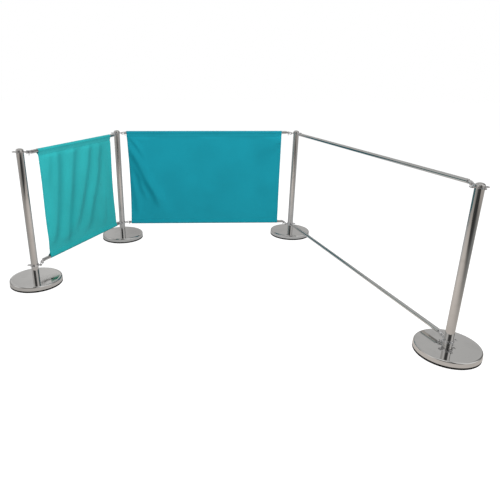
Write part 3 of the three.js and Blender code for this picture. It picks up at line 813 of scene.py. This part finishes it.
def panelDepth(banner, across, up):
    # how far the panel stands back, at shares of its width and height, and how much painted shade darkens
    # it there. The rails hold it flat. A fold is a bell across the width, and its painted shade is darkest
    # where it is steepest.
    depth, paintedShade = 0, 0
    for fold in banner["folds"]:
        away = across - placeAlong(fold["path"], up)
        away /= fold["reach"][0] if away < 0 else fold["reach"][1]
        fade = smoothStep(up, fold["from"] - 0.12, fold["from"] + 0.1)
        fade *= 1 - smoothStep(up, fold["to"] - 0.1, fold["to"] + 0.12)
        rise = fade * math.exp(-away * away)
        depth += fold["depth"] * rise
        # painted shade on the fold's turned side
        paintedShade += fold["paintedShade"] * rise * max(away * banner["turned"], 0) * steepest
    for waves, shift, height in banner["swell"]:
        depth += height * math.sin(math.tau * (waves * across + shift + 0.3 * up))
    # painted shade: darker toward the foot, most toward the right
    low = banner["lowShade"] * (1 - up) * (0.4 + 0.6 * across)
    free = smoothStep(up, 0, 0.12) * (1 - smoothStep(up, 0.965, 1.0))
    side = min(across, 1 - across)
    depth += banner["curl"] * math.sin(math.pi * 2.2 * up + 5 * across) * math.exp(-side * 30)
    return depth * (0.06 + 0.94 * free) - banner["hang"], paintedShade * (0.55 + 0.45 * free) + low


def onTheWay(start, end):
    # three places between two
    (x, y), (toX, toY) = start, end
    return [(x + (toX - x) * k / 4, y + (toY - y) * k / 4) for k in (1, 2, 3)]


def sleeveTurn(hang, points):
    # the path round a rail, from the back seam over the rail to the front seam, as (y, z) from its axis
    radius, drop = sleeve["radius"], sleeve["drop"]
    seam = sleeve["layer"] - hang
    half = math.acos(radius / drop)
    side, low = radius * math.sin(half), -radius * math.cos(half)
    back = [(seam, -drop - sleeve["flap"]), (seam, -drop - sleeve["fold"]), (seam, -drop)]
    over = [(radius * math.sin(a), -radius * math.cos(a))
            for a in (half + (math.tau - 2 * half) * k / points for k in range(points + 1))]
    return back + onTheWay((seam, -drop), (side, low)) + over + onTheWay((-side, low), (-hang, -drop))


def bannerPiece(bayName, banner):
    # the cloth as one surface: the top sleeve, the panel's rows and the bottom sleeve, column by column
    topStart, topSlope = runs[bayName, "top"]
    footStart, footSlope = runs[bayName, "bottom"]
    at = bayPlaces[bayName]
    width = bays[bayName]["length"] - banner["start"] - banner["end"]
    columns, rows = banner["columns"], banner["rows"]
    turnPath = sleeveTurn(banner["hang"], 20)
    drop, paintedLight, over = sleeve["drop"], sleeve["paintedLight"], sleeve["over"]
    flares = [sleeve["flare"] * smoothStep(y, 0, sleeve["radius"]) for y, z in turnPath]
    bm = bmesh.new()
    # painted shade for each corner, kept as a vertex attribute that darkens the cloth's colour
    paintedShadeLayer = bm.verts.layers.float.new("paintedShade")
    grid, lengths = [], []
    for i in range(columns + 1):
        across = i / columns
        column, tones = [], []
        spot = banner["start"] + width * across
        topAxis = topStart.y + (spot - topStart.x) * math.tan(topSlope)
        footAxis = footStart.y + (spot - footStart.x) * math.tan(footSlope)
        outward = across ** 16 - (1 - across) ** 16
        skew = banner["skew"][0] * (1 - across) ** 4 - banner["skew"][1] * across ** 4
        for (y, z), flare in zip(turnPath, flares):
            column.append((spot + skew + flare * outward, y, topAxis + z))
            # painted light on the sleeve below the crease, going to painted shade over the rail
            tones.append(paintedLight + (over - paintedLight) * smoothStep(z, *sleeve["crease"]))
        for row in range(rows + 1):
            up = 1 - row / rows
            bow = math.sin(math.pi * up) ** 0.8 if 0 < row < rows else 0
            x = spot + skew * up
            x += bow * (banner["pullIn"][0] * (1 - across) ** 5 - banner["pullIn"][1] * across ** 5)
            z = footAxis + drop + (topAxis - footAxis - 2 * drop) * up
            depth, paintedShade = panelDepth(banner, across, up)
            column.append((x, depth, z))
            tones.append(paintedShade)
        for (y, z), flare in zip(reversed(turnPath), reversed(flares)):
            column.append((spot + flare * outward, y, footAxis - z))
            # painted shade on the bottom sleeve
            tones.append(sleeve["under"] + banner["lowShade"])
        grid.append([bm.verts.new(at @ (Vector(p) * mm)) for p in column])
        for corner, paintedShade in zip(grid[-1], tones):
            corner[paintedShadeLayer] = paintedShade
        run = [0]
        for a, b in zip(column, column[1:]):
            run.append(run[-1] + (Vector(b) - Vector(a)).length)
        lengths.append(run)
    uv = bm.loops.layers.uv.new("cloth")
    tall = sum(run[-1] for run in lengths) / len(lengths)
    for i in range(columns):
        for j in range(len(grid[0]) - 1):
            face = bm.faces.new([grid[i][j], grid[i][j + 1], grid[i + 1][j + 1], grid[i + 1][j]])
            for loop, (c, r) in zip(face.loops, ((i, j), (i, j + 1), (i + 1, j + 1), (i + 1, j))):
                loop[uv].uv = (width * mm * c / columns, (tall - lengths[c][r] * tall / lengths[c][-1]) * mm)
    middleColumn, seamAt = lengths[columns // 2], len(turnPath) - 1
    share = tall / middleColumn[-1]
    seams = [(tall - middleColumn[seamAt + 1] * share - sleeve["stitch"]) * mm,
             (tall - middleColumn[seamAt + rows + 1] * share + sleeve["stitch"]) * mm]
    return bm, width * mm, tall * mm, seams


for bayName, banner in banners.items():
    bm, width, tall, seams = bannerPiece(bayName, banner)
    finish = clothFinish(f"{bayName}Cloth", clothTones[bayName], width, seams)
    piece = asPiece(f"{bayName}Banner", bm, finish, 180, False)
    thick = piece.modifiers.new("cloth", "SOLIDIFY")
    thick.thickness, thick.offset = sleeve["cloth"] * mm, 0
    applied(piece)
    standIn(piece, f"{bayName}_banner", f"{bayName}_banner")
print("banners made")

# Floor, room and studio lamps. The camera sees plain white. Polished steel mirrors a grey floor with a
# painted pool of light, brighter near its middle, warmer toward the front, and with a few dark shapes on it,
# each with its place, where it starts and ends to fade, and its level.
studio = {
    "floor": 40, "middle": (0.1, -1.0, 0), "reach": 2.4, "near": 0.78, "far": 0.45, "warm": (1, 0.93, 0.87),
    "shapes": [(0.3, -4.6, 1.4, 2.4, 0.04), (-1.4, -4.2, 1.2, 2.0, 0.05), (2.1, -3.3, 0.3, 2.0, 0.07),
               (-3.4, -2.7, 0.2, 2.0, 0.22), (3.2, -2.1, 0.3, 2.2, 0.25), (-2.6, 2.0, 1.0, 3.0, 0.38)],
}


def mirroredFloor(tree):
    # a painted pool of light, brighter near the middle, that only polished steel sees
    place = addNode(tree, "ShaderNodeNewGeometry").outputs["Position"]
    axes = addNode(tree, "ShaderNodeSeparateXYZ", {0: place})
    out = apart(tree, place, studio["middle"])
    level = mapped(tree, out, 0, studio["reach"], studio["near"], studio["far"])
    depth = mapped(tree, axes.outputs["Y"], -0.5, 0.8)
    tone = scaled(tree, mixed(tree, depth, studio["warm"], (1, 1, 1)), level)
    for x, y, inner, outer, dark in studio["shapes"]:
        away = apart(tree, place, (x, y, 0))
        clear = mapped(tree, away, inner, outer, interpolation_type="SMOOTHSTEP")
        tone = mixed(tree, clear, (dark, dark * 1.02, dark), tone)
    return tone


def byRay(tree, seen, mirrored, others):
    # one shader for what the camera sees, one for what steel mirrors and one for the light on everything else
    path = addNode(tree, "ShaderNodeLightPath")
    whole = others
    for ray, shader in (("Is Glossy Ray", mirrored), ("Is Camera Ray", seen)):
        links = {0: path.outputs[ray], 1: whole, 2: shader}
        whole = addNode(tree, "ShaderNodeMixShader", links).outputs[0]
    return whole


def glow(tree, kind, colour, strength):
    return addNode(tree, kind, {"Color": colour, "Strength": strength}).outputs[0]


def floorFinish():
    material = bpy.data.materials.new("floor")
    material.use_nodes = True
    tree, kind = material.node_tree, "ShaderNodeEmission"
    tree.nodes.clear()
    out = addNode(tree, "ShaderNodeOutputMaterial")
    matt = addNode(tree, "ShaderNodeBsdfDiffuse", {"Color": (0.14, 0.14, 0.14, 1)})
    plain = glow(tree, kind, (1, 1, 1, 1), 0.97)
    shown = addNode(tree, "ShaderNodeAddShader", {0: plain, 1: matt.outputs[0]})
    mirrored = glow(tree, kind, mirroredFloor(tree), 1.0)
    whole = byRay(tree, shown.outputs[0], mirrored, glow(tree, kind, (0.9, 0.9, 0.9, 1), 0.45))
    tree.links.new(whole, out.inputs["Surface"])
    return material


bm = bmesh.new()
bmesh.ops.create_grid(bm, x_segments=1, y_segments=1, size=studio["floor"] / 2)
floor = asObject("floor", bm)
floor.data.materials.append(floorFinish())

# The room's walls as the steel mirrors them: a share of the turn, from -X through -Y, +X and +Y, and a level
walls = [
    (0.0, 0.75), (0.05, 0.80), (0.09, 0.35), (0.125, 0.12), (0.16, 0.07), (0.27, 0.07), (0.31, 0.25),
    (0.345, 0.80), (0.46, 0.85), (0.50, 0.30), (0.56, 0.15), (0.62, 0.45), (0.654, 0.53), (0.70, 0.51),
    (0.755, 0.40), (0.765, 0.42), (0.778, 0.60), (0.79, 0.68), (0.80, 0.60), (0.81, 0.53), (0.86, 0.50),
    (0.95, 0.60), (1.0, 0.75),
]
# Above the front, two soft boxes hang side by side with a dark gap between them: a share aside, and a level
ceiling = [(0.0, 0.05), (0.09, 0.05), (0.13, 0.95), (0.42, 0.95), (0.60, 0.50), (1.0, 0.50)]

# A painted reflection: a teal band on a dark line, painted low on the back wall so that the left end's base
# mirrors it: the line's slope and its height where it starts, then for each the shares of the turn that it
# runs between, its height and its colour
paintedReflection = {
    "slope": 2.13, "start": 0.7907, "height": 0.3920,
    "bar": (0.7930, 0.7980, 0.0024, (0.03, 0.027, 0.025)),
    "hem": (0.7880, 0.7941, 0.0085, (0.006, 0.165, 0.105)),
}


def ramped(tree, share, stops):
    node = addNode(tree, "ShaderNodeValToRGB", {"Fac": share})
    elements = node.color_ramp.elements
    elements[0].position, elements[1].position = stops[0][0], stops[-1][0]
    for k, (spot, level) in enumerate(stops):
        ends = {0: elements[0], len(stops) - 1: elements[-1]}
        stop = ends[k] if k in ends else elements.new(spot)
        stop.color = (level, level * 0.99, level * 0.975, 1)
    return node.outputs["Color"]


def paintedReflectionOnWall(tree, share, height, colour):
    # painted reflection: the teal band and dark line are drawn into the room's colour by direction
    drop = paintedReflection["height"] - paintedReflection["slope"] * paintedReflection["start"]
    lifted = maths(tree, "MULTIPLY_ADD", share, -paintedReflection["slope"], height)
    above = maths(tree, "SUBTRACT", lifted, drop)
    for name in ("hem", "bar"):
        first, last, tall, shade = paintedReflection[name]
        along = maths(tree, "COMPARE", share, (first + last) / 2, (last - first) / 2)
        up = maths(tree, "COMPARE", above, tall / 2, tall / 2)
        colour = mixed(tree, maths(tree, "MULTIPLY", along, up), colour, shade)
    return colour


def studioWorld():
    world = bpy.data.worlds.new("studio")
    world.use_nodes = True
    tree, kind = world.node_tree, "ShaderNodeBackground"
    tree.nodes.clear()
    out = addNode(tree, "ShaderNodeOutputWorld")
    place = addNode(tree, "ShaderNodeTexCoord")
    axes = addNode(tree, "ShaderNodeSeparateXYZ", {0: place.outputs["Generated"]})
    x, y, z = (axes.outputs[axis] for axis in ("X", "Y", "Z"))
    share = mapped(tree, maths(tree, "ARCTAN2", y, x), -math.pi, math.pi)
    shadow = maths(tree, "MULTIPLY", mapped(tree, z, 0.24, 0.10), mapped(tree, y, -0.1, 0.35, 0, 0.95))
    sides = mixed(tree, shadow, ramped(tree, share, walls), (0.02, 0.02, 0.02))
    outer = maths(tree, "MAXIMUM", maths(tree, "ABSOLUTE", x), mapped(tree, y, -0.15, 0.1))
    around = mixed(tree, mapped(tree, z, 0.60, 0.76), sides, ramped(tree, outer, ceiling))
    room = glow(tree, kind, paintedReflectionOnWall(tree, share, z, around), 1.0)
    plain, soft = glow(tree, kind, (1, 1, 1, 1), 1.0), glow(tree, kind, (0.95, 0.97, 1, 1), 0.30)
    tree.links.new(byRay(tree, plain, room, soft), out.inputs["Surface"])
    scene.world = world


def lamp(name, place, aim, size, watts):
    light = bpy.data.lights.new(name, "AREA")
    light.shape, light.size, light.energy = "SQUARE", size, watts
    body = bpy.data.objects.new(name, light)
    direction = Vector(aim) - Vector(place)
    body.matrix_world = Matrix.Translation(place) @ direction.to_track_quat("-Z", "Y").to_matrix().to_4x4()
    body.visible_glossy = False
    scene.collection.objects.link(body)


studioWorld()
lamp("keyLamp", (-0.5, -3.6, 2.9), (-0.6, 0.6, 0.5), 1.0, 190)
lamp("sideLamp", (3.8, -0.5, 2.8), (-0.2, 0.8, 0.5), 1.0, 110)
lamp("topLamp", (0, 0.2, 4.5), (0, 0.2, 0), 3.5, 40)
lamp("backLamp", (-1.2, 4.6, 2.6), (-0.4, 0.9, 0.5), 1.5, 150)
scene.view_settings.view_transform = "Standard"
print("studio made")
